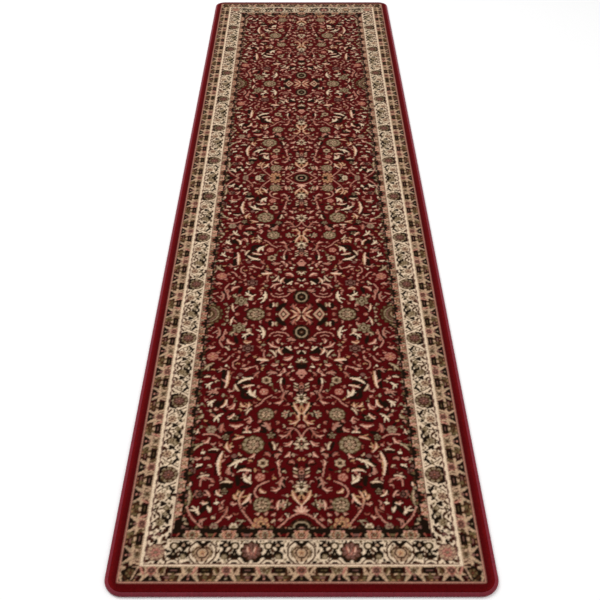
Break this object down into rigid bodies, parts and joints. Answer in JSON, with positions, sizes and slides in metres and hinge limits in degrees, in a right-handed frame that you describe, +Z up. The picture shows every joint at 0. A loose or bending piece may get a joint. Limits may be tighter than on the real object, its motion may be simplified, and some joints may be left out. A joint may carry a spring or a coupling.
{
  "type": "runner rug",
  "caption": "Long woven pile runner rug with a flowered wine-red field, cream flowered border, guard stripes and an overcast edge, lying flat.",
  "frame": {"origin": "middle of the rug's underside, on the floor", "axes": "+Z up, out of the pile; +Y along the rug's length; +X across its width"},
  "size_m": [0.8, 3, 0.01],
  "materials": {
    "field_pile": "wine-red cut pile with many-coloured flowers, leaves and vines",
    "border_pile": "cream cut pile with grey-brown, black and gold flowers",
    "guard_pile": "brown and tan cut pile with small flowers and a zigzag",
    "cream_pile": "plain cream cut pile",
    "tan_pile": "plain tan cut pile",
    "wine_pile": "plain dark wine-red cut pile",
    "serging_yarn": "thick crimson yarn, wrapped side by side, slightly glossy",
    "sewing_thread": "thin dark red polyester thread",
    "buried_yarn": "pile yarn that runs inside the ground",
    "jute": "coarse natural jute thread",
    "cotton": "undyed cotton and polyester warp thread",
    "latex_back": "matt latex size over a jute weave"
  },
  "bodies": {
    "root": {"back_coat": "latex_back", "lower_weft": "jute", "stuffer_warps": "cotton", "buried_pile_yarns": "buried_yarn", "upper_weft": "jute", "chain_warps": "cotton", "pile_field": "field_pile", "pile_inner_guard": "guard_pile", "pile_inner_cream_line": "cream_pile", "pile_main_border": "border_pile", "pile_outer_cream_line": "cream_pile", "pile_outer_guard": "guard_pile", "pile_pin_line": "tan_pile", "pile_edge_band": "wine_pile", "serging": "serging_yarn", "lock_thread": "sewing_thread"}
  },
  "joints": []
}
